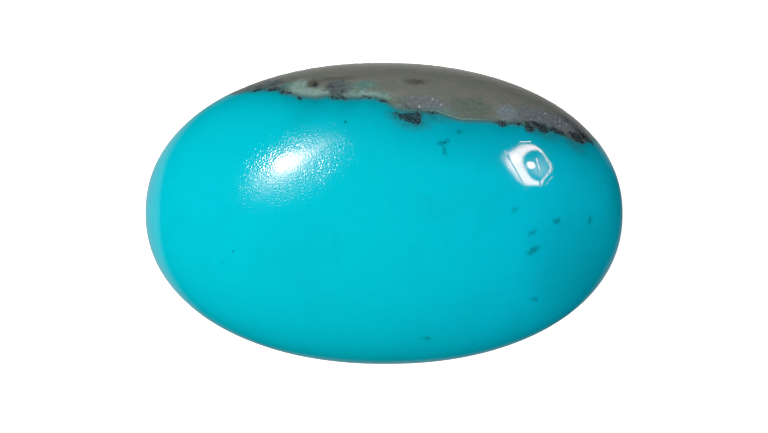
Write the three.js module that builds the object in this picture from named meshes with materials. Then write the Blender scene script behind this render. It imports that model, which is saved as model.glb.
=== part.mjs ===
// A polished turquoise cabochon that keeps a band of its host rock along one long edge.
// Millimetres, +Z up. The stone rests on its flat back, centred on the origin.
// +X runs along its length, +Y towards the edge with the host rock, +Z out of the dome.

import * as THREE from 'three';

// Driving dimensions
const LENGTH = 25.0;          // tip to tip, at the girdle
const WIDTH = 15.8;           // across the girdle
const THICKNESS = 7.5;        // flat back to the top of the dome
const GIRDLE_HEIGHT = 1.75;   // height of the widest line above the back
const ELLIPSE = 2;            // exponent of a plain ellipse, which the dome's top follows
const FULLNESS = 2.135;       // exponent of the stone's outline, a little squarer than that
const BEVEL = 0.32;           // the 45 degree bevel that breaks the edge of the back
const WALL_DROP = 2.1;        // upright half-axis of the arc below the girdle
const WALL_TUCK = 0.6;        // level half-axis of the same arc

// Facets
const AROUND = 112;
const DOME_ROWS = 22;
const WALL_ROWS = 5;
const BACK_ROWS = 5;

const TURQUOISE = 0x08bccf;
const POLISH = 0.12;

const halfLength = LENGTH / 2;
const halfWidth = WIDTH / 2;
const domeRise = THICKNESS - GIRDLE_HEIGHT;
const wallInset = insetAt(BEVEL);

// How far the stone has drawn in from its widest line at a height: nothing on the dome, an
// elliptic arc on the wall below the girdle, and then the straight bevel down to the back.
function insetAt(height) {
  if (height >= GIRDLE_HEIGHT) {
    return 0;
  }
  if (height < BEVEL) {
    return wallInset + BEVEL - height;
  }
  const drop = (GIRDLE_HEIGHT - height) / WALL_DROP;
  return WALL_TUCK * (1 - Math.sqrt(1 - drop * drop));
}

// Half of the stone's section across its width, from the middle of the back out and up to
// the top of the dome.
function sectionProfile() {
  const points = [];
  const backEdge = halfWidth - insetAt(0);
  for (let row = 0; row <= BACK_ROWS; row += 1) {
    points.push(new THREE.Vector2((backEdge * row) / BACK_ROWS, 0));
  }
  for (let row = 0; row < WALL_ROWS; row += 1) {
    const height = BEVEL + ((GIRDLE_HEIGHT - BEVEL) * row) / WALL_ROWS;
    points.push(new THREE.Vector2(halfWidth - insetAt(height), height));
  }
  for (let row = 0; row <= DOME_ROWS; row += 1) {
    const climb = ((Math.PI / 2) * row) / DOME_ROWS;
    const radius = row === DOME_ROWS ? 0 : halfWidth * Math.cos(climb);
    points.push(new THREE.Vector2(radius, GIRDLE_HEIGHT + domeRise * Math.sin(climb)));
  }
  return points;
}

// The lathe turns a round stone as wide as the real one. Each point is then drawn out along
// X to the real length, and pushed outwards towards the corners of the oval. The push fades
// from the whole fullness at the edge to none in the middle, so that the top is a plain dome.
function drawOutToOval(geometry) {
  const place = geometry.getAttribute('position');
  for (let index = 0; index < place.count; index += 1) {
    const x = place.getX(index);
    const y = place.getY(index);
    const inset = insetAt(place.getZ(index));
    const stretch = (halfLength - inset) / (halfWidth - inset);
    const radius = Math.hypot(x, y);
    if (radius > 0) {
      const share = radius / (halfWidth - inset);
      const power = ELLIPSE + (FULLNESS - ELLIPSE) * share ** 2;
      const corner = Math.abs(x / radius) ** power + Math.abs(y / radius) ** power;
      const push = corner ** (-1 / power);
      place.setXY(index, x * stretch * push, y * push);
    }
  }
  geometry.computeVertexNormals();
  return geometry;
}

function makeStone() {
  const round = new THREE.LatheGeometry(sectionProfile(), AROUND);
  round.rotateX(Math.PI / 2);   // the lathe turns about Y, and the stone stands along Z
  const material = new THREE.MeshStandardMaterial({
    color: TURQUOISE,
    roughness: POLISH,
    metalness: 0,
  });
  const stone = new THREE.Mesh(drawOutToOval(round), material);
  stone.name = 'turquoise_stone';
  return stone;
}

const cabochon = new THREE.Group();
cabochon.add(makeStone());

export default cabochon;
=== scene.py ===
"""A polished turquoise cabochon that keeps a band of its host rock along one long edge.

The stone is one closed surface, worked out from an oval outline and a domed section and
then roughened, pitted and undercut as a hand-polished stone is. Its own sizes are in
millimetres here, and MM turns them into metres where a mesh, a light or the camera is made.
"""

import logging
from dataclasses import dataclass
from enum import Enum

import bpy
import numpy as np
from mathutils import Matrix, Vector


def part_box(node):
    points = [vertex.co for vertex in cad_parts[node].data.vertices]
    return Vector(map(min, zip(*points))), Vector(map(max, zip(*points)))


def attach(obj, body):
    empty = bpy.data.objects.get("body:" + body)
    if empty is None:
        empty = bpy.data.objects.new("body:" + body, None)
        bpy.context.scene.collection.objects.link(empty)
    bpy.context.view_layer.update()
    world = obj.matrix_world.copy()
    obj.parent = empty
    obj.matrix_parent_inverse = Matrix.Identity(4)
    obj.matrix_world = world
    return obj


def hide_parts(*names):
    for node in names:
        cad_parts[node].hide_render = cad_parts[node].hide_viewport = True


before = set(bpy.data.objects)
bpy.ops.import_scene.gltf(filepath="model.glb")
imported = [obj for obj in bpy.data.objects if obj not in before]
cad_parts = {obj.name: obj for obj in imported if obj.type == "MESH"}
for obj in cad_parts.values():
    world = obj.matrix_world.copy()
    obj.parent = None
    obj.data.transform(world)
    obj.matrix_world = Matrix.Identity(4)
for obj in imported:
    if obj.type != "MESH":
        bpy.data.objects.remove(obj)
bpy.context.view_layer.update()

MM = 0.001
ELLIPSE = 2  # the exponent of a plain ellipse
NOISE_SWING = 0.25  # how far a noise mostly strays from its middle, 0.5

log = logging.getLogger("cabochon")

Outline = tuple[tuple[float, float], ...]
Source = bpy.types.Node | bpy.types.NodeSocket  # what a node's input can be linked from


def add(
    tree: bpy.types.NodeTree, kind: str, inputs: dict | None = None, **settings: object
) -> bpy.types.Node:
    """Adds one shader node to a tree.

    Args:
        tree: The tree that gets the node.
        kind: The node's Blender type, after the word ShaderNode.
        inputs: For each input socket, by name or number, its value, the output linked to
            it, or the node whose first live output is.
        **settings: The node's own properties.

    Returns:
        The new node.
    """
    node = tree.nodes.new(f"ShaderNode{kind}")
    for name, value in settings.items():
        setattr(node, name, value)
    for socket, value in (inputs or {}).items():
        if isinstance(value, bpy.types.Node):
            value = next(output for output in value.outputs if output.enabled)
        if isinstance(value, bpy.types.NodeSocket):
            tree.links.new(value, node.inputs[socket])
        else:
            node.inputs[socket].default_value = value
    return node


def emptied(holder: bpy.types.Material | bpy.types.World) -> bpy.types.NodeTree:
    """Switches a material or a world to nodes, and clears the ones it starts with.

    Args:
        holder: The material or the world.

    Returns:
        Its empty tree.
    """
    holder.use_nodes = True
    holder.node_tree.nodes.clear()
    return holder.node_tree


def placed(name: str, data: bpy.types.Mesh | bpy.types.Light | bpy.types.Camera) -> bpy.types.Object:
    """Puts an object into the scene.

    Args:
        name: What it is called.
        data: What it is an object of.

    Returns:
        The object.
    """
    made = bpy.data.objects.new(name, data)
    bpy.context.scene.collection.objects.link(made)
    return made


def linear(hex_colour: str) -> tuple[float, float, float, float]:
    """Turns an sRGB hex colour into the linear colour that shaders take.

    Args:
        hex_colour: Six hex digits after a #.

    Returns:
        Linear red, green, blue, and an alpha of 1.
    """
    shares = [int(hex_colour[i : i + 2], 16) / 255 for i in (1, 3, 5)]
    red, green, blue = [s / 12.92 if s <= 0.04045 else ((s + 0.055) / 1.055) ** 2.4 for s in shares]
    return red, green, blue, 1.0


def smooth_step(values: np.ndarray, start: float, end: float) -> np.ndarray:
    """Rises from 0 at start to 1 at end along 3t^2 - 2t^3, and is level outside them."""
    t = np.clip((values - start) / (end - start), 0, 1)
    return t * t * (3 - 2 * t)


def ripple(places: np.ndarray, wavelength: float, seed: int) -> np.ndarray:
    """Gives a smooth random field of unit strength.

    It is a sum of plane cosine waves with random directions and phases, whose lengths lie
    within a third of the one asked for.

    Args:
        places: Points, one row each.
        wavelength: The waves' middle length, in the points' own unit.
        seed: Chooses the field.

    Returns:
        One number for each point.
    """
    waves, shortest, longest = 24, 0.75, 1.33
    rng = np.random.default_rng(seed)
    directions = rng.normal(size=(waves, 3))
    directions /= np.linalg.norm(directions, axis=1, keepdims=True)
    numbers = 2 * np.pi / wavelength * rng.uniform(shortest, longest, size=(waves, 1))
    phases = rng.uniform(0, 2 * np.pi, size=waves)
    return np.cos(places @ (directions * numbers).T + phases).sum(axis=1) * np.sqrt(2 / waves)


def quads_between(index: np.ndarray) -> np.ndarray:
    """Lists the quads between closed rings of points, from each ring's row of point numbers."""
    ahead = np.roll(index, -1, axis=1)
    return np.stack([index[:-1], index[1:], ahead[1:], ahead[:-1]], axis=-1).reshape(-1, 4)


class Mineral(Enum):
    """What a patch on the stone is made of; the deeper blue patches also paint shade. The value names its
    mesh attribute.
    """

    BLACK_OXIDE = "black_oxide"
    CHALK = "chalk"
    SLATE = "slate"
    OLIVE = "olive"
    DARK_ROCK = "dark_rock"
    TEAL = "teal"
    UMBER = "umber"
    BLUE_CLAY = "blue_clay"
    # A deeper blue beside the rock, and painted shade on the dome's lower right
    DEEPER_BLUE_AND_SHADE = "deeper_blue_and_painted_shade"
    SPECK = "speck"
    SMOKE = "smoke"


@dataclass(frozen=True)
class Patch:
    """An oval patch of one mineral that crops out at the surface; the deeper blue patches also paint shade.
    """

    mineral: Mineral
    at: tuple[float, float, float]
    length: float
    breadth: float
    turn: float = 0.0

    def depth(self, places: np.ndarray) -> np.ndarray:
        """Gives about how far inside the patch's edge each point lies.

        The distance from the patch's middle is counted in its own half-length along its
        long direction and half-breadth in the others. One minus that, times the smaller of
        the two, is the depth.

        Args:
            places: Points in millimetres, one row each.

        Returns:
            Millimetres inside the edge, negative outside it.
        """
        turn = np.radians(self.turn)
        along = np.array([np.cos(turn), np.sin(turn), 0.0])
        away = places - np.array(self.at)
        lengthways = away @ along
        sideways = np.sqrt(np.clip((away**2).sum(axis=1) - lengthways**2, 0, None))
        half_length, half_breadth = self.length / 2, self.breadth / 2
        reach = np.hypot(lengthways / half_length, sideways / half_breadth)
        return (1 - reach) * min(half_length, half_breadth)


def patches_of(mineral: Mineral, *ovals: tuple) -> tuple[Patch, ...]:
    """Makes one mineral's patches, each from its middle, length, breadth and turn."""
    return tuple(Patch(mineral, *oval) for oval in ovals)


@dataclass(frozen=True)
class OvalDome:
    """The cabochon's form: an oval outline under a dome, a tucked wall, a bevel and a flat back."""

    length: float
    width: float
    thickness: float
    girdle_height: float = 1.75
    fullness: float = 2.135
    bevel: float = 0.32
    wall_drop: float = 2.1
    wall_tuck: float = 0.6
    around: int = 576
    dome_rows: int = 130
    wall_rows: int = 16
    bevel_rows: int = 6
    back_rows: int = 14
    rounds: int = 5

    def inset(self, height: np.ndarray) -> np.ndarray:
        """Gives how far the section has drawn in from its widest line.

        It is nothing on the dome, an elliptic arc on the wall below the girdle, and a
        straight 45 degree bevel at the bottom.

        Args:
            height: Heights above the back, in millimetres.

        Returns:
            The inset at each height, in millimetres.
        """
        drop = np.clip(self.girdle_height - np.maximum(height, self.bevel), 0, None)
        arc = self.wall_tuck * (1 - np.sqrt(1 - (drop / self.wall_drop) ** 2))
        return arc + np.clip(self.bevel - height, 0, None)

    def section(self) -> tuple[np.ndarray, np.ndarray]:
        """Works out the section from just off the dome's top to just off the back's middle.

        On the dome, the share of the way out is the sine of an angle and the height its
        cosine, so the section is a quarter of an ellipse.

        Returns:
            For each row, its share of the way out to the edge, and its height.
        """
        rise = self.thickness - self.girdle_height
        climb = np.linspace(0, np.pi / 2, self.dome_rows + 1)[1:]
        wall = np.linspace(self.girdle_height, self.bevel, self.wall_rows + 1)[1:]
        bevel = np.linspace(self.bevel, 0, self.bevel_rows + 1)[1:]
        back = np.linspace(1, 0, self.back_rows + 1)[1:-1]
        full = np.ones(self.wall_rows + self.bevel_rows)
        share = np.concatenate([np.sin(climb), full, back])
        flat = np.zeros_like(back)
        height = np.concatenate([self.girdle_height + rise * np.cos(climb), wall, bevel, flat])
        return share, height

    def height_over(self, x: np.ndarray, y: np.ndarray) -> np.ndarray:
        """Gives the dome's height over places seen from above.

        The share of the way out is ((|x| / half-length)^n + (|y| / half-width)^n)^(1/n). As n
        depends on that share, it is worked out in a few rounds from the edge's n.

        Args:
            x: Places along the stone, in millimetres.
            y: Places across it.

        Returns:
            Heights above the back, in millimetres.
        """
        share = np.ones_like(x)
        for _ in range(self.rounds):
            power = ELLIPSE + (self.fullness - ELLIPSE) * share**2
            along, across = np.abs(2 * x / self.length), np.abs(2 * y / self.width)
            share = np.minimum((along**power + across**power) ** (1 / power), 1)
        return self.girdle_height + (self.thickness - self.girdle_height) * np.sqrt(1 - share**2)

    def rings(self) -> np.ndarray:
        """Carries the section round the oval.

        A point's place is (half-length - inset) x share x cos(angle) along X, and the same
        with the half-width and the sine along Y. Both are pushed out towards the oval's
        corners by (|cos|^n + |sin|^n)^(-1/n), where n grows from 2 at the middle, an
        ellipse, to the outline's fullness at the edge.

        Returns:
            The points in millimetres, as rows by columns by three.
        """
        share, height = self.section()
        share, height = share[:, None], height[:, None]
        angle = np.linspace(0, 2 * np.pi, self.around, endpoint=False)[None, :]
        power = ELLIPSE + (self.fullness - ELLIPSE) * share**2
        push = (np.abs(np.cos(angle)) ** power + np.abs(np.sin(angle)) ** power) ** (-1 / power)
        inset = self.inset(height)
        x = (self.length / 2 - inset) * share * np.cos(angle) * push
        y = (self.width / 2 - inset) * share * np.sin(angle) * push
        return np.stack([x, y, np.broadcast_to(height, x.shape)], axis=-1)

    def poles(self) -> np.ndarray:
        """Gives the top of the dome and the middle of the back, which close the rings."""
        return np.array([[0.0, 0.0, self.thickness], [0.0, 0.0, 0.0]])

    def normals(self, rings: np.ndarray) -> np.ndarray:
        """Works out the outward direction at each point, from the slopes down and round the rings.

        Args:
            rings: The points, as rows by columns by three.

        Returns:
            Arrows of length one, in the same order.
        """
        down = np.gradient(rings, axis=0)
        ahead = (np.roll(rings, -1, axis=1) - np.roll(rings, 1, axis=1)) / 2
        outward = np.cross(down, ahead)
        return outward / np.linalg.norm(outward, axis=-1, keepdims=True)

    def faces(self) -> list[tuple[int, ...]]:
        """Lists the faces: quads between the rings, and a fan of triangles at each pole.

        Returns:
            Each face's point numbers, where the two poles come after the rings.
        """
        rows = self.dome_rows + self.wall_rows + self.bevel_rows + self.back_rows - 1
        index = np.arange(rows * self.around).reshape(rows, self.around)
        ahead = np.roll(index, -1, axis=1)
        top, middle = np.full((2, self.around), [[index.size], [index.size + 1]])
        fan_up = np.stack([top, index[0], ahead[0]], axis=-1)
        fan_down = np.stack([middle, ahead[-1], index[-1]], axis=-1)
        return quads_between(index).tolist() + fan_up.tolist() + fan_down.tolist()


@dataclass(frozen=True)
class HostRock:
    """The rock that the turquoise grew in: everything past a wavy sheet through the stone.

    edge is where that sheet comes out on the dome, as seen from above, from the tip on the
    -X side to the tip on the +X side. From there the sheet leans in under the turquoise.
    """

    edge: Outline = (
        (-9.0, 6.5), (-8.3, 6.22), (-7.9, 6.14), (-7.6, 6.18), (-7.07, 6.28), (-6.33, 6.34),
        (-5.43, 6.3), (-5.16, 6.11), (-4.8, 6.08), (-4.38, 5.94), (-3.55, 5.86), (-3.04, 5.94),
        (-2.62, 5.9), (-2.06, 5.8), (-1.64, 5.85), (-0.62, 5.87), (-0.15, 5.74), (0.26, 5.53),
        (0.62, 5.29), (1.03, 5.19), (2.36, 5.14), (2.77, 5.12), (3.28, 4.91), (3.69, 4.78),
        (4.15, 4.71), (5.55, 4.69), (5.96, 4.56), (6.38, 4.59), (7.21, 4.55), (7.62, 4.37),
        (8.47, 4.32), (8.94, 4.17), (9.41, 3.97), (9.78, 3.77), (10.26, 3.64), (10.5, 3.7),
        (10.75, 3.88), (11.1, 3.85), (11.6, 4.3), (12.5, 5.2),
    )
    lean: float = 0.38

    def depth(self, places: np.ndarray, dome: OvalDome) -> np.ndarray:
        """Gives how far into the host rock each point lies.

        Args:
            places: Points in millimetres, one row each.
            dome: The stone's form, whose height tells how far below the edge a point is.

        Returns:
            Millimetres past the sheet, negative in the turquoise.
        """
        edge_x, edge_y = np.array(self.edge).T
        line = np.interp(places[:, 0], edge_x, edge_y)
        top = dome.height_over(places[:, 0], line)
        return places[:, 1] - line + self.lean * np.clip(top - places[:, 2], 0, None)


@dataclass(frozen=True)
class Outcrops:
    """The patches of mineral, with how the ones out of sight are scattered.

    The hidden ones lie up to hidden_top of the thickness. Their ranges are least and most:
    half-turns round the edge from the +X tip, the share of the way out on the back, lengths
    in millimetres, and breadth to length. Depths into patches stop at far_outside.
    """

    named: tuple[Patch, ...] = (
        *patches_of(
            Mineral.BLACK_OXIDE,
            ((1.2, 4.94, 6.21), 1.15, 0.52, -8), ((1.65, 4.89, 6.2), 0.55, 0.82),
            ((0.66, 5.08, 6.14), 0.6, 0.17, -14), ((2.26, 5.17, 5.98), 0.9, 0.1),
            ((-6.75, 6.35, 3.6), 1.0, 0.24, 2), ((-5.85, 6.38, 4.05), 1.1, 0.28, -2),
            ((-5.3, 6.26, 4.39), 0.3, 0.44), ((-5.01, 6.18, 4.58), 0.4, 0.16),
            ((-4.38, 5.93, 5.03), 0.24, 0.34), ((-3.58, 6.64, 4.47), 0.3, 0.34),
            ((-2.42, 5.93, 5.4), 0.95, 0.22, -8), ((-0.85, 5.97, 5.49), 0.5, 0.1),
            ((-0.05, 5.78, 5.66), 0.8, 0.13, -23), ((6.07, 4.64, 5.54), 0.66, 0.34),
            ((6.78, 4.64, 5.28), 0.95, 0.14, 1), ((7.48, 4.44, 5.17), 0.6, 0.56),
            ((8.2, 4.44, 4.81), 0.75, 0.58, 2), ((7.85, 4.64, 4.82), 1.5, 0.38, -8),
            ((8.97, 4.28, 4.47), 1.7, 0.33, -15), ((9.95, 3.98, 3.86), 1.7, 0.55, -14),
            ((10.34, 4.09, 3.4), 0.9, 0.44, -33), ((10.82, 3.72, 3.21), 0.6, 0.2, -38),
        ),
        *patches_of(
            Mineral.CHALK,
            ((-4.4, 6.5, 4.45), 1.1, 1.4, -3), ((-3.9, 6.12, 4.98), 1.9, 1.05, -5),
            ((-0.9, 6.07, 5.4), 1.9, 0.55, -5), ((0.7, 5.43, 5.92), 1.3, 0.13, -20),
        ),
        *patches_of(
            Mineral.TEAL,
            ((-1.06, 6.62, 4.85), 1.3, 0.7), ((-1.3, 6.15, 5.25), 1.0, 0.6),
            ((-0.2, 6.0, 5.4), 1.0, 0.5, -16), ((3.1, 5.2, 5.85), 0.9, 0.3, -14),
            ((-5.0, 6.55, 4.1), 0.7, 0.7, -30),
        ),
        *patches_of(
            Mineral.SLATE,
            ((2.2, 5.66, 5.65), 2.3, 0.95, -6), ((7.9, 5.0, 4.4), 2.4, 1.3, -12),
            ((9.1, 4.72, 3.95), 2.6, 1.1, -22),
        ),
        *patches_of(
            Mineral.BLUE_CLAY,
            ((6.34, 5.2, 5.05), 1.2, 1.2),
        ),
        *patches_of(
            Mineral.OLIVE,
            ((4.4, 5.46, 5.43), 2.4, 1.35, -1), ((1.05, 5.6, 5.78), 1.2, 0.8, -12),
        ),
        *patches_of(
            Mineral.DARK_ROCK,
            ((-6.42, 6.56, 3.36), 3.4, 1.4, 5), ((-2.45, 6.4, 4.95), 1.4, 1.5),
            ((-7.45, 6.25, 2.75), 2.6, 1.2, 12), ((-5.35, 6.45, 4.15), 0.9, 0.8),
            ((1.35, 5.35, 5.97), 1.5, 0.5, -12), ((6.9, 4.85, 5.0), 1.2, 0.6),
            ((8.6, 4.5, 4.5), 4.2, 1.0, -13), ((10.14, 4.3, 3.3), 2.6, 1.0, -33),
        ),
        *patches_of(
            Mineral.UMBER,
            ((-3.7, 6.71, 4.35), 0.7, 0.75), ((-2.67, 6.97, 4.22), 1.6, 0.22, 2),
            ((1.65, 6.81, 4.59), 1.0, 0.45),
        ),
        *patches_of(
            Mineral.SMOKE,
            ((1.45, 4.66, 6.27), 1.7, 0.9, -6), ((2.5, 4.95, 6.05), 1.5, 0.6, -6),
            ((0.7, 4.95, 6.2), 1.1, 0.6, -20), ((8.2, 4.15, 4.9), 2.2, 0.6, -10),
            ((9.6, 3.6, 4.3), 1.6, 0.5, -20),
        ),
        # Beside the rock a deeper blue; over the dome's lower right, painted shade where the key light
        # falls off
        *patches_of(
            Mineral.DEEPER_BLUE_AND_SHADE,
            ((9.7, -2.5, 4.8), 5.6, 4.6, -55), ((3.8, 4.4, 6.0), 8.0, 3.0, -7),
        ),
        *patches_of(
            Mineral.SPECK,
            ((3.06, 3.25, 6.8), 0.22, 0.45, 10), ((2.91, 3.6, 6.7), 0.34, 0.24),
            ((3.2, 3.69, 6.62), 0.22, 0.24), ((3.84, 4.21, 6.3), 0.28, 0.24),
            ((8.88, -0.35, 5.79), 0.42, 0.28, 30), ((10.63, -0.3, 4.77), 0.3, 0.2, 70),
            ((7.63, -0.96, 6.26), 0.4, 0.16, 25), ((6.7, 0.22, 6.6), 0.26, 0.16, 30),
            ((7.64, -1.87, 6.09), 0.7, 0.3, 30), ((10.37, -3.96, 3.3), 0.3, 0.2, 60),
            ((7.69, -4.35, 4.99), 0.6, 0.2, -20), ((10.3, -4.9, 2.1), 0.9, 0.2, 60),
            ((2.27, -6.43, 4.95), 0.35, 0.16, 0),
        ),
    )
    hidden_count: int = 90
    hidden_seed: int = 11
    hidden_top: float = 0.2
    hidden_arc: tuple[float, float] = (0.12, 0.92)
    hidden_out: tuple[float, float] = (0.55, 1.0)
    hidden_length: tuple[float, float] = (0.7, 2.4)
    hidden_black_length: tuple[float, float] = (0.3, 1.3)
    hidden_breadth: tuple[float, float] = (0.2, 0.5)
    far_outside: float = -1.0

    def scattered(self, dome: OvalDome) -> list[Patch]:
        """Scatters patches over the rock where the wall and the back carry it.

        Args:
            dome: The stone's form, which gives the wall's outline.

        Returns:
            The patches, each lying along the edge that it is near.
        """
        rng = np.random.default_rng(self.hidden_seed)
        kinds = [Mineral.BLACK_OXIDE, Mineral.CHALK, Mineral.SLATE, Mineral.OLIVE, Mineral.DARK_ROCK]
        found = []
        for _ in range(self.hidden_count):
            kind = kinds[rng.integers(len(kinds))]
            angle = rng.uniform(*self.hidden_arc) * np.pi
            height = rng.uniform(0.0, self.hidden_top) * dome.thickness
            out = rng.uniform(*self.hidden_out) if height < dome.bevel else 1.0
            x = dome.length / 2 * np.cos(angle) * out
            y = dome.width / 2 * np.sin(angle) * out
            turn = np.degrees(np.arctan2(-dome.width * np.cos(angle), dome.length * np.sin(angle)))
            black = kind is Mineral.BLACK_OXIDE
            length = rng.uniform(*(self.hidden_black_length if black else self.hidden_length))
            breadth = length * rng.uniform(*self.hidden_breadth)
            found.append(Patch(kind, (x, y, height), length, breadth, turn))
        return found

    def depths(self, places: np.ndarray, dome: OvalDome) -> dict[Mineral, np.ndarray]:
        """Gives, for each mineral, how far inside its nearest patch each point lies.

        Args:
            places: Points in millimetres, one row each.
            dome: The stone's form.

        Returns:
            One array for each mineral, in millimetres.
        """
        depths = {kind: np.full(len(places), self.far_outside) for kind in Mineral}
        for patch in [*self.named, *self.scattered(dome)]:
            depths[patch.mineral] = np.maximum(depths[patch.mineral], patch.depth(places))
        return depths


@dataclass(frozen=True)
class Relief:
    """How far the polished surface departs from its ideal form, in millimetres."""

    lapping: float = 0.0015
    lapping_wavelength: float = 3.6
    undercut: float = 0.014
    undercut_run: float = 0.6
    rock_grain: float = 0.004
    rock_grain_size: float = 0.45
    pit: float = 0.012
    pit_run: float = 0.15
    seed: int = 5

    def height(self, places: np.ndarray, rock: np.ndarray, black: np.ndarray) -> np.ndarray:
        """Works out the relief at each point.

        Hand lapping leaves long low waves. The host rock wears faster than the turquoise,
        so it lies a little lower and keeps its grain, and the soft black oxide is pitted.

        Args:
            places: Points in millimetres, one row each.
            rock: How deep each point lies in the host rock.
            black: How deep each point lies in black oxide.

        Returns:
            Millimetres out of the ideal surface, negative into it.
        """
        in_rock = smooth_step(rock, 0, self.undercut_run)
        waves = self.lapping * ripple(places, self.lapping_wavelength, self.seed)
        grain = self.rock_grain * ripple(places, self.rock_grain_size, self.seed + 1)
        pits = self.pit * smooth_step(black, 0, self.pit_run)
        return waves - in_rock * (self.undercut - grain) - pits


@dataclass(frozen=True)
class Fade:
    """A change with some measure: least at start, most at end, and a ramp between them."""

    start: float
    end: float
    most: float = 1.0
    least: float = 0.0

    def of(self, measure: Source, scale: float = 1.0) -> dict:
        """Gives the inputs that make a map-range node follow the change.

        Args:
            measure: What the change goes by.
            scale: What least and most are multiplied by.

        Returns:
            Each input's value, by its name.
        """
        ends = {"Value": measure, "From Min": self.start, "From Max": self.end}
        return {**ends, "To Min": self.least * scale, "To Max": self.most * scale}


@dataclass(frozen=True)
class Grain:
    """A cloudy pattern, by the size of its blots in millimetres and how finely they break up."""

    size: float
    detail: float = 2.0
    roughness: float = 0.5
    distortion: float = 0.0

    def at(self, place: Source) -> dict:
        """Gives the inputs that make a noise node draw the pattern.

        Args:
            place: The place in millimetres.

        Returns:
            Each input's value, by its name.
        """
        broken = {"Detail": self.detail, "Roughness": self.roughness, "Distortion": self.distortion}
        return {"Vector": place, "Scale": 1 / self.size, **broken}


@dataclass(frozen=True)
class Tint:
    """How the patches of one mineral look.

    Their edges wander by ragged and fade over soft, in millimetres. cover is how far a patch
    hides its ground. Inside, spots of the fleck colour about fleck_size across come in as a
    noise rises through flecking.
    """

    mineral: Mineral
    colour: str
    fleck: str
    ragged: float = 0.12
    soft: float = 0.3
    cover: float = 1.0
    fleck_size: float = 0.16
    flecking: Fade = Fade(0.46, 0.66)


@dataclass(frozen=True)
class Turquoise:
    """Turquoise, a waxy copper and aluminium phosphate, domed and polished by hand.

    It is opaque, so the eye gets a saturated blue-green skin under a glassy polish. The
    colour deepens to teal where iron from the host rock has got in. Cooling and staining go
    by the place along the stone in millimetres, and clouding by a noise.
    """

    body: str = "#00C4D5"
    cool_body: str = "#00C2DD"
    cooling: Fade = Fade(-3.0, 11.0)
    cloud: str = "#04B7C8"
    clouds: Grain = Grain(2.6, 4.0, distortion=0.6)
    clouding: Fade = Fade(0.45, 0.8, 0.5)
    by_the_rock: str = "#007D8B"
    stain_reach: float = 0.85
    stain_unevenness: float = 0.8
    staining: Fade = Fade(-9.5, -4.8, 0.85)
    roughness: float = 0.06
    tints: tuple[Tint, ...] = (
        # The deeper blue: painted shade over the dome's lower right, and the turquoise's own deeper tint
        # beside the rock
        Tint(Mineral.DEEPER_BLUE_AND_SHADE, "#009FB5", "#009AB0", 0.5, 3.4, 0.5, 0.9),
        Tint(Mineral.SMOKE, "#1F6A70", "#2E8289", 0.12, 0.6, 0.6, 0.2),
        Tint(Mineral.SPECK, "#05707E", "#0A5560", 0.12, 0.24, 0.65, 0.1),
    )


@dataclass(frozen=True)
class RockFinish:
    """Silicified host rock, polished with the turquoise.

    It is softer in places and grainy, so it takes only a satin shine. Clay and iron give
    it a grey-olive ground, with chalky, slate-blue, olive and soot-black patches. Warming
    and streaking go by a noise, bordering by the depth into the rock, and the rind's ends
    by the place along the stone, in millimetres. One blot of the streaks is streak_length
    by streak_width.
    """

    ground: str = "#73796F"
    ground_warm: str = "#7B7C73"
    ground_shade: str = "#6A7069"
    mottling: Grain = Grain(0.7, 5.0, 0.6)
    warming: Fade = Fade(0.42, 0.6)
    streak_length: float = 0.7
    streak_width: float = 0.18
    streaks: Grain = Grain(1.0, 4.0, 0.65)
    streaking: Fade = Fade(0.45, 0.75, 0.6)
    # Pale quartz grains in the slate, painted brighter as the glints they throw
    quartz_and_painted_glint: str = "#D4DEE6"
    quartz_spacing: float = 0.42
    quartz_size: float = 0.045
    quartz_softness: float = 0.4
    border: str = "#3E6C6D"
    bordering: Fade = Fade(0.42, 0.0, 0.95)
    selvage: str = "#3E6A68"
    selvage_at: float = 0.05
    selvage_width: float = 0.06
    rind: str = "#7E9C95"
    rind_begins: Fade = Fade(1.8, 2.8, 0.7)
    rind_ends: Fade = Fade(5.6, 4.6)
    rind_at: float = 0.17
    rind_width: float = 0.08
    roughness: float = 0.2
    tints: tuple[Tint, ...] = (
        Tint(Mineral.OLIVE, "#5C6C60", "#66756E", 0.3, 0.5, 0.85),
        Tint(Mineral.DARK_ROCK, "#576569", "#323F43", 0.34, 0.45, 0.85, 0.28),
        Tint(Mineral.BLUE_CLAY, "#7F8E96", "#667379", 0.3, 0.5, 0.85, 0.14),
        Tint(Mineral.SLATE, "#646C72", "#828B92", 0.3, 0.5, 0.85, 0.11),
        Tint(Mineral.TEAL, "#50837A", "#69938B", 0.25, 0.5, 0.8),
        Tint(Mineral.CHALK, "#8DACA4", "#70908A", 0.26, 0.5, 0.88, 0.2),
        Tint(Mineral.UMBER, "#54514A", "#45423C", 0.12, 0.4, 0.85, 0.25),
    )


@dataclass(frozen=True)
class BlackOxide:
    """Manganese oxide, soot-black and soft, in pits and short seams along the rock's edge."""

    roughness: float = 0.22
    tint: Tint = Tint(Mineral.BLACK_OXIDE, "#11191D", "#465C65", 0.17, 0.16, 0.92, 0.09)


@dataclass(frozen=True)
class LappedBack:
    """The flat back as it left a coarse lap, so matt and a little chalky."""

    chalkiness: float = 0.22
    chalk: str = "#C9DEDC"
    below: Fade = Fade(0.36, 0.31)
    roughness: float = 0.55


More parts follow.
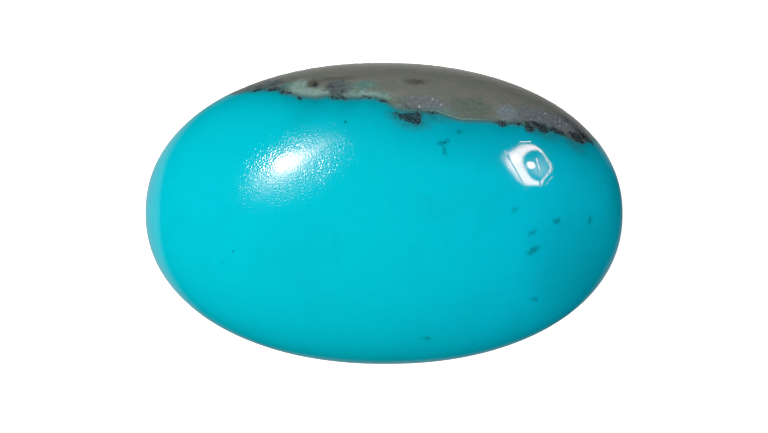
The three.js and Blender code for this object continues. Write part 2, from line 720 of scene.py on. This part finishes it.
@dataclass(frozen=True)
class Pitting:
    """Shallow round pits and a fine grain left by a coarse grit, inside an oval.

    They break a lamp's reflection into sparkles. Spread and wear go by the share of the way
    out to the oval: the marks thin out towards its edge, and its middle is worn calmer. The
    grain comes and goes in patches as a noise rises through patchiness. Through is more than
    the stone's thickness, so that the oval reaches right through it.
    """

    at: tuple[float, float] = (-4.7, 2.4)
    half_length: float = 5.2
    half_breadth: float = 2.9
    through: float = 1000.0
    turn: float = 33.0
    spacing: float = 0.14
    radius: float = 0.075
    depth: float = 0.0068
    grain: Grain = Grain(0.085, 0.5)
    grain_height: float = 0.0088
    spread: Fade = Fade(1.1, 0.45)
    wear: Fade = Fade(0.1, 0.34, least=0.32)
    patches: Grain = Grain(0.7)
    patchiness: Fade = Fade(0.36, 0.62, 1.1, 0.45)


@dataclass(frozen=True)
class Scratch:
    """One straight scratch in the polish, as seen from above."""

    start: tuple[float, float]
    end: tuple[float, float]
    half_width: float
    depth: float


@dataclass(frozen=True)
class Pinhole:
    """A dark hole in the turquoise, too small for the mesh to hold."""

    at: tuple[float, float, float]
    radius: float


@dataclass(frozen=True)
class Polish:
    """The marks in the polish: a faint orange peel, pitted patches, scratches and pinholes.

    A pinhole's colour comes in from pinhole_rim to pinhole_floor times its radius.
    """

    peel: Grain = Grain(0.22)
    peel_height: float = 0.0008
    pitting: tuple[Pitting, ...] = (
        Pitting(),
        Pitting(
            at=(7.3, 2.6),
            half_length=2.6,
            half_breadth=2.2,
            turn=0.0,
            spacing=0.5,
            radius=0.05,
            depth=0.003,
            grain=Grain(0.11, 0.5),
            grain_height=0.001,
        ),
    )
    rock_grain: Grain = Grain(0.13)
    rock_grain_height: float = 0.004
    scratches: tuple[Scratch, ...] = (
        Scratch((6.19, 3.21), (7.29, 1.25), 0.03, 0.0035),
        Scratch((7.8, 2.83), (7.94, 2.26), 0.045, 0.0045),
        Scratch((7.94, 2.26), (8.01, 1.35), 0.035, 0.004),
        Scratch((7.0, 3.68), (7.52, 3.69), 0.05, 0.0019),
        Scratch((8.64, 1.98), (8.33, 1.56), 0.05, 0.001),
    )
    pinholes: tuple[Pinhole, ...] = (
        Pinhole((-2.0, 4.67, 6.3), 0.06),
        Pinhole((-4.52, 4.19, 6.05), 0.05),
        Pinhole((3.07, 3.62, 6.67), 0.07),
        Pinhole((-7.74, -1.99, 6.05), 0.045),
        Pinhole((-8.27, -2.56, 5.68), 0.035),
    )
    pinhole_colour: str = "#08383F"
    pinhole_rim: float = 1.3
    pinhole_floor: float = 0.5


@dataclass(frozen=True)
class StoneMaterial:
    """The one material of the stone, turquoise and host rock in one polished skin.

    The edge between them wanders by edge_wander and fades over edge_fade, in millimetres.
    """

    turquoise: Turquoise = Turquoise()
    rock: RockFinish = RockFinish()
    oxide: BlackOxide = BlackOxide()
    back: LappedBack = LappedBack()
    polish: Polish = Polish()
    edge_grain: Grain = Grain(0.2, 4.0, 0.6)
    edge_wander: float = 0.24
    edge_fade: float = 0.34
    ior: float = 1.61


class SkinPainter:
    """Turns the stone's finishes into the nodes of one material.

    Its patterns read place, which is the object's coordinates in millimetres, x, which is
    the first of them, and the mesh's own attributes. depth is how far into the host rock a
    point lies, 0 at the rock's ragged edge, and in_rock is 0 in turquoise and 1 in rock.
    """

    def __init__(self, look: StoneMaterial) -> None:
        """Starts the material with what all its patterns read.

        Args:
            look: The finishes.
        """
        self.look = look
        self.material = bpy.data.materials.new("polished_turquoise_and_host_rock")
        self.tree = emptied(self.material)
        coordinates = self.add("TexCoord").outputs["Object"]
        self.place = self.add("VectorMath", {0: coordinates, "Scale": 1 / MM}, operation="SCALE")
        self.x, _, self.z = self.add("SeparateXYZ", {0: self.place}).outputs
        self.smooth_depth = self.add("Attribute", attribute_name="host_rock").outputs["Fac"]
        grain = self.add("TexNoise", look.edge_grain.at(self.place))
        self.depth = self.strayed(self.smooth_depth, grain, look.edge_wander)
        across = Fade(-look.edge_fade / 2, look.edge_fade / 2)
        self.in_rock = self.add("MapRange", across.of(self.depth), interpolation_type="SMOOTHSTEP")

    def add(self, kind: str, inputs: dict | None = None, **settings: object) -> bpy.types.Node:
        """Adds one node to the material, as the function add does to any tree."""
        return add(self.tree, kind, inputs, **settings)

    def strayed(self, depth: Source, noise: Source, reach: float) -> bpy.types.Node:
        """Makes a smooth depth ragged: depth + (noise - 0.5) x reach."""
        centred = self.add("Math", {0: noise, 1: 0.5}, operation="SUBTRACT")
        return self.add("Math", {0: centred, 1: reach, 2: depth}, operation="MULTIPLY_ADD")

    def paint(self) -> bpy.types.Material:
        """Lays the colours, the roughness and the relief of the polish.

        Returns:
            The finished material.
        """
        look = self.look
        in_oxide = self.patch_share(look.oxide.tint)
        on_back = self.add("MapRange", look.back.below.of(self.z))
        both = {"Factor": self.in_rock, "A": self.turquoise_colour(), "B": self.rock_colour()}
        colour = self.with_patches(self.add("Mix", both, data_type="RGBA"), (look.oxide.tint,))
        chalky = self.add("Math", {0: on_back, 1: look.back.chalkiness}, operation="MULTIPLY")
        colour = self.with_layers(colour, [(chalky, look.back.chalk)])

        roughness = look.turquoise.roughness
        for share, finish in ((self.in_rock, look.rock), (in_oxide, look.oxide), (on_back, look.back)):
            roughness = self.add("Mix", {"Factor": share, "A": roughness, "B": finish.roughness})
        skin = {"Base Color": colour, "Roughness": roughness, "IOR": look.ior, "Normal": self.normal()}
        self.add("OutputMaterial", {"Surface": self.add("BsdfPrincipled", skin)})
        return self.material

    def patch_share(self, tint: Tint) -> bpy.types.Node:
        """Turns the mesh's depth into one mineral's patches into their ragged shape.

        Args:
            tint: How those patches look.

        Returns:
            0 outside the patches, and the tint's cover inside.
        """
        depth = self.add("Attribute", attribute_name=tint.mineral.value).outputs["Fac"]
        noise = self.add("TexNoise", Grain(tint.ragged, detail=4.0, roughness=0.7).at(self.place))
        ragged = self.strayed(depth, noise, tint.ragged / NOISE_SWING)
        across = Fade(-tint.soft / 2, tint.soft / 2, tint.cover)
        return self.add("MapRange", across.of(ragged), interpolation_type="SMOOTHSTEP")

    def with_layers(self, ground: Source | tuple, layers: list[tuple[Source, str]]) -> bpy.types.Node:
        """Lays plain colours over a ground, one after the other.

        Args:
            ground: The colour underneath.
            layers: For each layer, its share and its hex colour.

        Returns:
            The colour on top.
        """
        for share, colour in layers:
            ground = self.add("Mix", {"Factor": share, "A": ground, "B": linear(colour)}, data_type="RGBA")
        return ground

    def with_patches(self, ground: Source, tints: tuple[Tint, ...]) -> bpy.types.Node:
        """Lays flecked mineral patches over a ground.

        Args:
            ground: The colour underneath.
            tints: How each mineral's patches look, in the order they are laid.

        Returns:
            The colour on top.
        """
        for tint in tints:
            noise = self.add("TexNoise", Grain(tint.fleck_size, roughness=0.6).at(self.place))
            fleck = self.add("MapRange", tint.flecking.of(noise))
            flecked = self.with_layers(linear(tint.colour), [(fleck, tint.fleck)])
            share = self.patch_share(tint)
            ground = self.add("Mix", {"Factor": share, "A": ground, "B": flecked}, data_type="RGBA")
        return ground

    def turquoise_colour(self) -> bpy.types.Node:
        """Colours the turquoise: bluer to the right, faintly clouded, teal beside the rock, and darker with
        painted shade on the lower right.

        The teal's share is e^(depth / reach), where depth is negative in the turquoise, and
        it gets its strength from left to right.

        Returns:
            The turquoise's colour.
        """
        finish = self.look.turquoise
        cooler = self.add("MapRange", finish.cooling.of(self.x), interpolation_type="SMOOTHSTEP")
        wisps = self.add("TexNoise", finish.clouds.at(self.place))
        cloud = self.add("MapRange", finish.clouding.of(wisps), interpolation_type="SMOOTHSTEP")
        uneven = self.strayed(self.smooth_depth, wisps, finish.stain_unevenness)
        steps = self.add("Math", {0: uneven, 1: finish.stain_reach}, operation="DIVIDE")
        strength = self.add("MapRange", finish.staining.of(self.x))
        faded = self.add("Math", {0: steps}, operation="EXPONENT")
        stain = self.add("Math", {0: faded, 1: strength}, operation="MULTIPLY", use_clamp=True)
        layers = [(cooler, finish.cool_body), (cloud, finish.cloud), (stain, finish.by_the_rock)]
        body = self.with_layers(linear(finish.body), [*layers, *self.pinholes()])
        return self.with_patches(body, finish.tints)

    def pinholes(self) -> list[tuple[Source, str]]:
        """Marks each pinhole by its distance from the hole's middle.

        Returns:
            A share and a colour for each pinhole.
        """
        polish = self.look.polish
        layers = []
        for hole in polish.pinholes:
            away = self.add("VectorMath", {0: self.place, 1: hole.at}, operation="DISTANCE")
            inwards = Fade(hole.radius * polish.pinhole_rim, hole.radius * polish.pinhole_floor)
            layers.append((self.add("MapRange", inwards.of(away)), polish.pinhole_colour))
        return layers

    def rock_colour(self) -> bpy.types.Node:
        """Colours the host rock: a mottled, streaked ground under patches, quartz with painted glints, and
        edge lines.

        The streaks run along the rock's edge, because they read the depth into the rock.

        Returns:
            The rock's colour.
        """
        finish = self.look.rock
        mottle = self.add("TexNoise", finish.mottling.at(self.place))
        warm = self.add("MapRange", finish.warming.of(mottle), interpolation_type="SMOOTHSTEP")
        across = self.add("Math", {0: self.depth, 1: 1 / finish.streak_width}, operation="MULTIPLY")
        lengthways = self.add("Math", {0: self.x, 1: 1 / finish.streak_length}, operation="MULTIPLY")
        layered = self.add("CombineXYZ", {"X": lengthways, "Y": across})
        streaks = self.add("TexNoise", finish.streaks.at(layered))
        shade = self.add("MapRange", finish.streaking.of(streaks))
        shades = [(warm, finish.ground_warm), (shade, finish.ground_shade)]
        ground = self.with_patches(self.with_layers(linear(finish.ground), shades), finish.tints)
        border = self.add("MapRange", finish.bordering.of(self.depth), interpolation_type="SMOOTHSTEP")
        # The quartz layer paints glints into the rock's colour
        layers = [(self.quartz_and_painted_glint(), finish.quartz_and_painted_glint), (border, finish.border), *self.edge_lines()]
        return self.with_layers(ground, layers)

    def quartz_and_painted_glint(self) -> bpy.types.Node:
        """Scatters quartz grains, painted bright as glints: a grain in the middle of each cell, only in the
        slate patches.

        Returns:
            The share of quartz and its painted glint.
        """
        finish = self.look.rock
        crystals = self.add("TexVoronoi", {"Vector": self.place, "Scale": 1 / finish.quartz_spacing})
        size = finish.quartz_size / finish.quartz_spacing
        inwards = Fade(size * (1 + finish.quartz_softness), size * (1 - finish.quartz_softness))
        glint = self.add("MapRange", inwards.of(crystals))
        slate = next(tint for tint in finish.tints if tint.mineral is Mineral.SLATE)
        return self.add("Math", {0: glint, 1: self.patch_share(slate)}, operation="MULTIPLY")

    def edge_lines(self) -> list[tuple[Source, str]]:
        """Draws the pale rind and the dark selvage, two lines that follow the rock's edge.

        Returns:
            A share and a colour for each line, which show only between the rind's two ends.
        """
        finish = self.look.rock
        begun = self.add("MapRange", finish.rind_begins.of(self.x))
        unended = self.add("MapRange", finish.rind_ends.of(self.x))
        present = self.add("Math", {0: begun, 1: unended}, operation="MULTIPLY")
        layers = []
        for at, width, colour in (
            (finish.rind_at, finish.rind_width, finish.rind),
            (finish.selvage_at, finish.selvage_width, finish.selvage),
        ):
            past = self.add("Math", {0: self.depth, 1: at}, operation="SUBTRACT")
            off = self.add("Math", {0: past}, operation="ABSOLUTE")
            line = self.add("MapRange", Fade(width, 0.0).of(off), interpolation_type="SMOOTHSTEP")
            layers.append((self.add("Math", {0: line, 1: present}, operation="MULTIPLY"), colour))
        return layers

    def normal(self) -> bpy.types.Node:
        """Adds up the polish's marks as one height in millimetres.

        Returns:
            The normal, bent by that height.
        """
        polish = self.look.polish
        peel = self.add("TexNoise", polish.peel.at(self.place))
        grain = self.add("TexNoise", polish.rock_grain.at(self.place))
        rise = self.add("Math", {0: self.in_rock, 1: polish.rock_grain_height}, operation="MULTIPLY")
        height = self.add("Math", {0: peel, 1: polish.peel_height}, operation="MULTIPLY")
        height = self.add("Math", {0: grain, 1: rise, 2: height}, operation="MULTIPLY_ADD")
        for mark in [*map(self.pits, polish.pitting), *map(self.groove, polish.scratches)]:
            height = self.add("Math", {0: height, 1: mark}, operation="SUBTRACT")
        return self.add("Bump", {"Height": height, "Distance": MM, "Strength": 1.0})

    def pits(self, pitting: Pitting) -> bpy.types.Node:
        """Sinks round pits of chance depth and a patchy fine grain inside the pitted oval.

        Args:
            pitting: The oval, the pits and the grain.

        Returns:
            How deep the pits are, in millimetres.
        """
        oval = self.add(
            "Mapping",
            {
                "Vector": self.place,
                "Location": (*pitting.at, 0.0),
                "Rotation": (0.0, 0.0, np.radians(pitting.turn)),
                "Scale": (pitting.half_length, pitting.half_breadth, pitting.through),
            },
            vector_type="TEXTURE",
        )
        reach = self.add("VectorMath", {0: oval}, operation="LENGTH")
        cells = self.add("TexVoronoi", {"Vector": self.place, "Scale": 1 / pitting.spacing})
        inwards = Fade(pitting.radius / pitting.spacing, 0.0, pitting.depth)
        bowl = self.add("MapRange", inwards.of(cells), interpolation_type="SMOOTHSTEP")
        chance = self.add("SeparateColor", {0: cells.outputs["Color"]})
        bowl = self.add("Math", {0: bowl, 1: chance}, operation="MULTIPLY")
        patches = self.add("TexNoise", pitting.patches.at(self.place))
        grain_height = self.add("MapRange", pitting.patchiness.of(patches, pitting.grain_height))
        grain = self.add("TexNoise", pitting.grain.at(self.place))
        rough = self.add("Math", {0: grain, 1: grain_height, 2: bowl}, operation="MULTIPLY_ADD")
        for fade in (pitting.spread, pitting.wear):
            share = self.add("MapRange", fade.of(reach), interpolation_type="SMOOTHSTEP")
            rough = self.add("Math", {0: rough, 1: share}, operation="MULTIPLY")
        return rough

    def groove(self, scratch: Scratch) -> bpy.types.Node:
        """Cuts a V along a scratch, by the distance from its line as seen from above.

        Args:
            scratch: The scratch.

        Returns:
            How deep the groove is, in millimetres.
        """
        start, end = Vector((*scratch.start, 0)), Vector((*scratch.end, 0))
        run = end - start
        flat = self.add("VectorMath", {0: self.place, 1: (1, 1, 0)}, operation="MULTIPLY")
        away = self.add("VectorMath", {0: flat, 1: start}, operation="SUBTRACT")
        share = self.add("VectorMath", {0: away, 1: run / run.length_squared}, operation="DOT_PRODUCT")
        clamped = self.add("Clamp", {"Value": share})
        foot = self.add("VectorMath", {0: run, "Scale": clamped}, operation="SCALE")
        off = self.add("VectorMath", {0: away, 1: foot}, operation="DISTANCE")
        return self.add("MapRange", Fade(scratch.half_width, 0.0, scratch.depth).of(off))


@dataclass(frozen=True)
class Cabochon:
    """The stone itself."""

    node: str = "turquoise_stone"
    slot: str = "turquoise"
    rock: HostRock = HostRock()
    outcrops: Outcrops = Outcrops()
    relief: Relief = Relief()
    material: StoneMaterial = StoneMaterial()
    decimals: int = 6

    def form(self) -> OvalDome:
        """Takes the stone's length, width and thickness from the frame.

        Returns:
            The form, with those sizes rounded to so many decimals of a millimetre.
        """
        low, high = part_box(self.node)
        length, width, thickness = ((np.array(high) - np.array(low)) / MM).round(self.decimals).tolist()
        return OvalDome(length, width, thickness)

    def build(self) -> bpy.types.Object:
        """Makes the stone's mesh and dresses it.

        Returns:
            The stone, riding on the frame's body and standing for its solid.
        """
        dome = self.form()
        rings = dome.rings()
        outward = dome.normals(rings).reshape(-1, 3)
        places = rings.reshape(-1, 3)
        polished = places[:, 2] > 0
        places = np.concatenate([places, dome.poles()])
        outward = np.concatenate([outward, [[0, 0, 1], [0, 0, -1]]])
        polished = np.concatenate([polished, [True, False]])
        rock = self.rock.depth(places, dome)
        depths = self.outcrops.depths(places, dome)
        relief = self.relief.height(places, rock, depths[Mineral.BLACK_OXIDE])
        places = places + outward * (relief * polished)[:, None]

        mesh = bpy.data.meshes.new("turquoise_cabochon")
        mesh.from_pydata(places * MM, [], dome.faces())
        mesh.shade_smooth()
        fields = {"host_rock": rock, **{kind.value: depth for kind, depth in depths.items()}}
        for name, values in fields.items():
            attribute = mesh.attributes.new(name, "FLOAT", "POINT")
            attribute.data.foreach_set("value", values.astype(np.float32))
        mesh.materials.append(SkinPainter(self.material).paint())
        stone = placed("turquoise_cabochon", mesh)
        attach(stone, "root")
        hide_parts(self.node)
        return stone


@dataclass(frozen=True)
class Sight:
    """A line from a spot on or under the stone to the lamp that the polish mirrors there."""

    spot: tuple[float, float, float]
    direction: tuple[float, float, float]


TO_DISH = Sight((7.33, 2.52, 6.06), (0.6095, 0.4895, 0.6237))
TO_STRIP = Sight((-4.91, 2.72, 6.66), (-0.3891, 0.5177, 0.762))
DOWN_TO_TABLE = Sight((0.0, 0.0, 0.0), (0.0, 0.0, -1.0))


@dataclass(frozen=True)
class LampFace:
    """The bright front of a lamp or a card, which shows only in the stone's polish.

    It faces the spot of its sight from a distance. Its rim and its hole, if it has one, are
    outlines round its hub, in millimetres from where the sight meets it. It fades over its
    soft edge and soft hole, which are shares of the way from one outline to the other.
    Where faces overlap, their light adds up.
    """

    name: str
    sight: Sight
    hub: tuple[float, float]
    rim: Outline
    brightness: float
    hole: Outline = ()
    closed_hole: float = 0.01
    soft_edge: float = 0.2
    soft_hole: float = 0.0
    falloff: float = 1.0
    colour: str = "#FFD8D0"
    distance: float = 120.0
    around: int = 120
    rows: int = 24

    def reach(self, outline: Outline, angle: np.ndarray) -> np.ndarray:
        """Gives how far an outline lies from the hub in each direction.

        Args:
            outline: Points round the hub, or none for a face with no hole.
            angle: The directions, in radians.

        Returns:
            The distances in millimetres, along straight changes from point to point.
        """
        if not outline:
            return np.full_like(angle, self.closed_hole)
        x, y = (np.array(outline) - self.hub).T
        turns = np.arctan2(y, x)
        order = np.argsort(turns)
        return np.interp(angle, turns[order], np.hypot(x, y)[order], period=2 * np.pi)

    def build(self) -> bpy.types.Object:
        """Makes the lamp's face as rings from its hole to its rim.

        Returns:
            The lamp's face, which shows only in the stone's polish.
        """
        angle = np.linspace(0, 2 * np.pi, self.around, endpoint=False)
        inner, outer = self.reach(self.hole, angle), self.reach(self.rim, angle)
        share = np.linspace(0, 1, self.rows)[:, None]
        reach = inner + (outer - inner) * share
        flat = np.stack([reach * np.cos(angle), reach * np.sin(angle)], axis=-1) + self.hub
        toward = Vector(self.sight.direction).normalized()
        turned = np.array((-toward).to_track_quat("Z", "Y").to_matrix())
        centre = np.array(self.sight.spot) + np.array(toward) * self.distance
        places = flat.reshape(-1, 2) @ turned[:, :2].T + centre
        light = np.clip((1 - share) / self.soft_edge, 0, 1) ** self.falloff
        if self.soft_hole:
            light = light * smooth_step(share, 0, self.soft_hole)
        light = np.broadcast_to(light, reach.shape).ravel()

        quads = quads_between(np.arange(reach.size).reshape(reach.shape))
        mesh = bpy.data.meshes.new(self.name)
        mesh.from_pydata(places * MM, [], quads.tolist())
        mesh.attributes.new("light", "FLOAT", "POINT").data.foreach_set("value", light.astype(np.float32))
        mesh.materials.append(glow(self.name, self.brightness, self.colour, "light"))
        face = placed(self.name, mesh)
        face.visible_camera = False
        face.visible_diffuse = False
        face.visible_shadow = False
        face.visible_transmission = False
        return face


def glow(name: str, brightness: float, colour: str, attribute: str) -> bpy.types.Material:
    """Makes an emitting material that hides nothing behind it, so that lights add up.

    Args:
        name: What it is called.
        brightness: Its radiance, where 1 is a sheet of paper that renders white.
        colour: Its hex colour.
        attribute: The mesh attribute that scales it.

    Returns:
        The material.
    """
    material = bpy.data.materials.new(name)
    tree = emptied(material)
    share = add(tree, "Attribute", attribute_name=attribute).outputs["Fac"]
    strength = add(tree, "Math", {0: share, 1: brightness}, operation="MULTIPLY")
    light = add(tree, "Emission", {"Color": linear(colour), "Strength": strength})
    both = add(tree, "AddShader", {0: light, 1: add(tree, "BsdfTransparent")})
    add(tree, "OutputMaterial", {"Surface": both})
    return material


@dataclass(frozen=True)
class Studio:
    """A white table under a soft key light from the left, seen from straight above."""

    camera_height: float = 200.0
    camera_sensor: float = 36.0
    camera_nearest: float = 1.0
    view_width: float = 40.24
    view_centre: tuple[float, float] = (0.0, -0.167)
    view_turn: float = 0.28
    girdle_height: float = OvalDome.girdle_height
    table_size: float = 3000.0
    table: str = "#FFFFFF"
    table_glow: float = 0.8
    fill: float = 0.445
    key_share: float = 0.9
    key_direction: tuple[float, float, float] = (-0.49, 0.08, 0.868)
    key_distance: float = 320.0
    key_size: float = 300.0
    lamps: tuple[LampFace, ...] = (
        LampFace(
            "dish_lamp",
            TO_DISH,
            hub=(2.5, -8.5),
            rim=(
                (-17.7, 3.3), (-20.5, -4.4), (-22.6, -13.9), (-23.1, -22.8), (-21.9, -29.7),
                (-19.3, -33.2), (-14.8, -34.1), (-8.9, -31.8), (-1.7, -28.2), (5.2, -25.2),
                (12.6, -20.9), (16.4, -15.3), (19.5, -7.7), (22.5, -0.8), (25.9, 4.9), (28.7, 9.4),
                (26.1, 12.8), (24.5, 17.2), (23.4, 21.8), (19.0, 24.8), (11.2, 24.7), (1.5, 22.0),
                (-6.4, 18.1), (-13.5, 11.0),
            ),
            hole=(
                (-11.8, -20.4), (-11.1, -26.7), (-8.4, -28.6), (-2.6, -26.5), (4.3, -23.0),
                (11.0, -19.2), (15.0, -13.8), (17.8, -7.2), (20.5, -0.7), (22.6, 4.8),
                (19.9, 8.5), (15.9, 9.3), (10.2, 7.7), (4.6, 4.9), (-0.8, 1.6), (-5.3, -2.4),
                (-9.2, -8.8), (-10.8, -14.3),
            ),
            brightness=15.8,
            colour="#FFCBC0",
            soft_edge=0.32,
            soft_hole=0.2,
        ),
        LampFace(
            "dish_corner",
            TO_DISH,
            hub=(-11.0, 6.0),
            rim=(
                (-14.7, 14.6), (-19.5, 7.2), (-23.4, -0.9), (-22.7, -5.3), (-16.9, -3.9),
                (-6.9, 7.7), (0.9, 19.1), (-1.6, 20.8), (-9.5, 18.0),
            ),
            distance=122.0,
            brightness=3.4,
            soft_edge=0.3,
        ),
        LampFace(
            "dish_bowl",
            TO_DISH,
            hub=(12.0, -2.0),
            rim=(
                (11.9, -20.5), (20.2, -7.1), (20.8, 4.0), (13.5, 7.2), (2.8, 0.5), (-5.2, -12.8),
                (-6.1, -25.4), (0.9, -28.7),
            ),
            distance=124.0,
            brightness=3.6,
            soft_edge=0.8,
        ),
        LampFace(
            "dish_bulb",
            TO_DISH,
            hub=(2.4, -2.4),
            rim=(
                (3.5, -6.2), (5.6, -2.4), (5.6, 1.1), (3.4, 2.2), (0.4, 0.4), (-1.7, -3.3),
                (-1.7, -6.8), (0.4, -8.0),
            ),
            distance=118.0,
            brightness=40.0,
        ),
        LampFace(
            "strip_lamp",
            TO_STRIP,
            hub=(-3.3, 2.4),
            rim=(
                (7.4, -0.5), (2.8, 6.3), (-4.8, 11.0), (-11.7, 11.2), (-14.8, 7.2), (-12.4, 0.9),
                (-5.9, -5.0), (1.8, -7.6), (7.1, -5.9),
            ),
            brightness=30.0,
            soft_edge=0.4,
        ),
        LampFace(
            "strip_ridge",
            TO_STRIP,
            hub=(-1.8, 4.0),
            rim=(
                (-47.0, 14.0), (-24.0, -2.4), (-2.7, -15.5), (16.1, -17.6), (34.1, -19.2),
                (45.9, -18.7), (45.8, -8.1), (21.1, 8.4), (4.2, 13.7), (-14.5, 23.5),
                (-33.7, 27.7), (-51.6, 28.5),
            ),
            distance=121.5,
            brightness=10.0,
            soft_edge=1.0,
            falloff=1.4,
        ),
        LampFace(
            "strip_glow",
            TO_STRIP,
            hub=(-1.8, 4.0),
            rim=(
                (59.3, -18.1), (47.3, 6.4), (29.1, 29.2), (6.5, 47.4), (-19.5, 59.4), (-46.1, 63.2),
                (-68.5, 57.0), (-80.3, 41.8), (-78.2, 22.8), (-62.0, 4.5), (-38.1, -11.3),
                (-12.5, -25.1), (12.5, -37.7), (35.6, -47.5), (53.8, -49.6), (62.3, -39.2),
            ),
            distance=123.0,
            brightness=17.0,
            soft_edge=1.0,
            falloff=3.8,
        ),
        LampFace(
            "white_card",
            DOWN_TO_TABLE,
            distance=0.02,
            hub=(0.0, 0.0),
            rim=(
                (14.8, 0.0), (14.0, 2.5), (15.4, 4.4), (14.6, 6.6), (11.2, 8.8), (6.0, 12.0),
                (0.0, 12.6), (-6.0, 11.4), (-9.9, 9.2), (-11.4, 7.2), (-15.3, 7.2), (-20.0, 6.6),
                (-27.0, 5.9), (-34.0, 0.0), (-29.0, -4.4), (-20.0, -6.4), (-15.3, -7.2),
                (-11.4, -7.3), (-7.0, -8.7), (0.0, -10.1), (4.9, -9.5), (9.2, -7.7),
                (10.8, -6.2), (13.2, -5.5), (15.4, -4.4), (15.2, -1.8),
            ),
            brightness=0.5,
            soft_edge=0.3,
            colour="#FFFFFF",
        ),
    )

    def build(self) -> list[bpy.types.Object]:
        """Makes the room, the table, the lights and the camera.

        Returns:
            The objects, in the order they were made.
        """
        self.set_world()
        return [self.set_table(), self.set_key(), *[lamp.build() for lamp in self.lamps], self.set_camera()]

    def set_world(self) -> None:
        """Fills the room with soft light: white to the camera, dim to the stone, dark to its polish."""
        world = bpy.data.worlds.new("white_room")
        bpy.context.scene.world = world
        tree = emptied(world)
        white = linear(self.table)
        seen = add(tree, "Background", {"Color": white, "Strength": 1.0})
        lit = add(tree, "Background", {"Color": white, "Strength": self.fill})
        to_camera = add(tree, "LightPath").outputs["Is Camera Ray"]
        add(tree, "OutputWorld", {"Surface": add(tree, "MixShader", {0: to_camera, 1: lit, 2: seen})})
        world.cycles_visibility.glossy = False
        bpy.context.scene.view_settings.view_transform = "Standard"

    def set_table(self) -> bpy.types.Object:
        """Lays the white table that the stone rests on.

        Returns:
            The table.
        """
        half = self.table_size / 2 * MM
        mesh = bpy.data.meshes.new("table")
        corners = [(-half, -half, 0), (half, -half, 0), (half, half, 0), (-half, half, 0)]
        mesh.from_pydata(corners, [], [(0, 1, 2, 3)])
        material = bpy.data.materials.new("white_paper")
        tree = emptied(material)
        paper = {
            "Base Color": linear(self.table),
            "Roughness": 1.0,
            "Specular IOR Level": 0.0,
            "Emission Color": linear(self.table),
            "Emission Strength": self.table_glow,
        }
        add(tree, "OutputMaterial", {"Surface": add(tree, "BsdfPrincipled", paper)})
        mesh.materials.append(material)
        table = placed("table", mesh)
        table.visible_diffuse = False
        table.visible_glossy = False
        table.visible_shadow = False
        return table

    def set_key(self) -> bpy.types.Object:
        """Hangs the soft key light, whose power gives its share of the light on the table.

        Returns:
            The key light.
        """
        light = bpy.data.lights.new("soft_key", "AREA")
        light.size = self.key_size * MM
        light.energy = self.key_share * (np.pi * self.key_distance * MM) ** 2
        light.cycles.use_multiple_importance_sampling = False
        key = placed("soft_key", light)
        toward = Vector(self.key_direction).normalized()
        key.location = toward * self.key_distance * MM
        key.rotation_euler = toward.to_track_quat("Z", "Y").to_euler()
        key.visible_glossy = False
        return key

    def set_camera(self) -> bpy.types.Object:
        """Hangs the camera over the stone, far enough off for a flat, close-up view.

        Returns:
            The camera.
        """
        lens = bpy.data.cameras.new("overhead")
        lens.sensor_width = self.camera_sensor
        lens.lens = lens.sensor_width * self.camera_height / self.view_width
        lens.clip_start = self.camera_nearest * MM
        camera = placed("overhead", lens)
        x, y = self.view_centre
        camera.location = Vector((x, y, self.camera_height + self.girdle_height)) * MM
        camera.rotation_euler.z = np.radians(self.view_turn)
        bpy.context.scene.camera = camera
        return camera


def main() -> None:
    """Builds the studio and the stone."""
    logging.basicConfig(level=logging.INFO, format="%(name)s: %(message)s")
    for made in [*Studio().build(), Cabochon().build()]:
        log.info("%s", made.name)


if __name__ == "__main__":
    main()
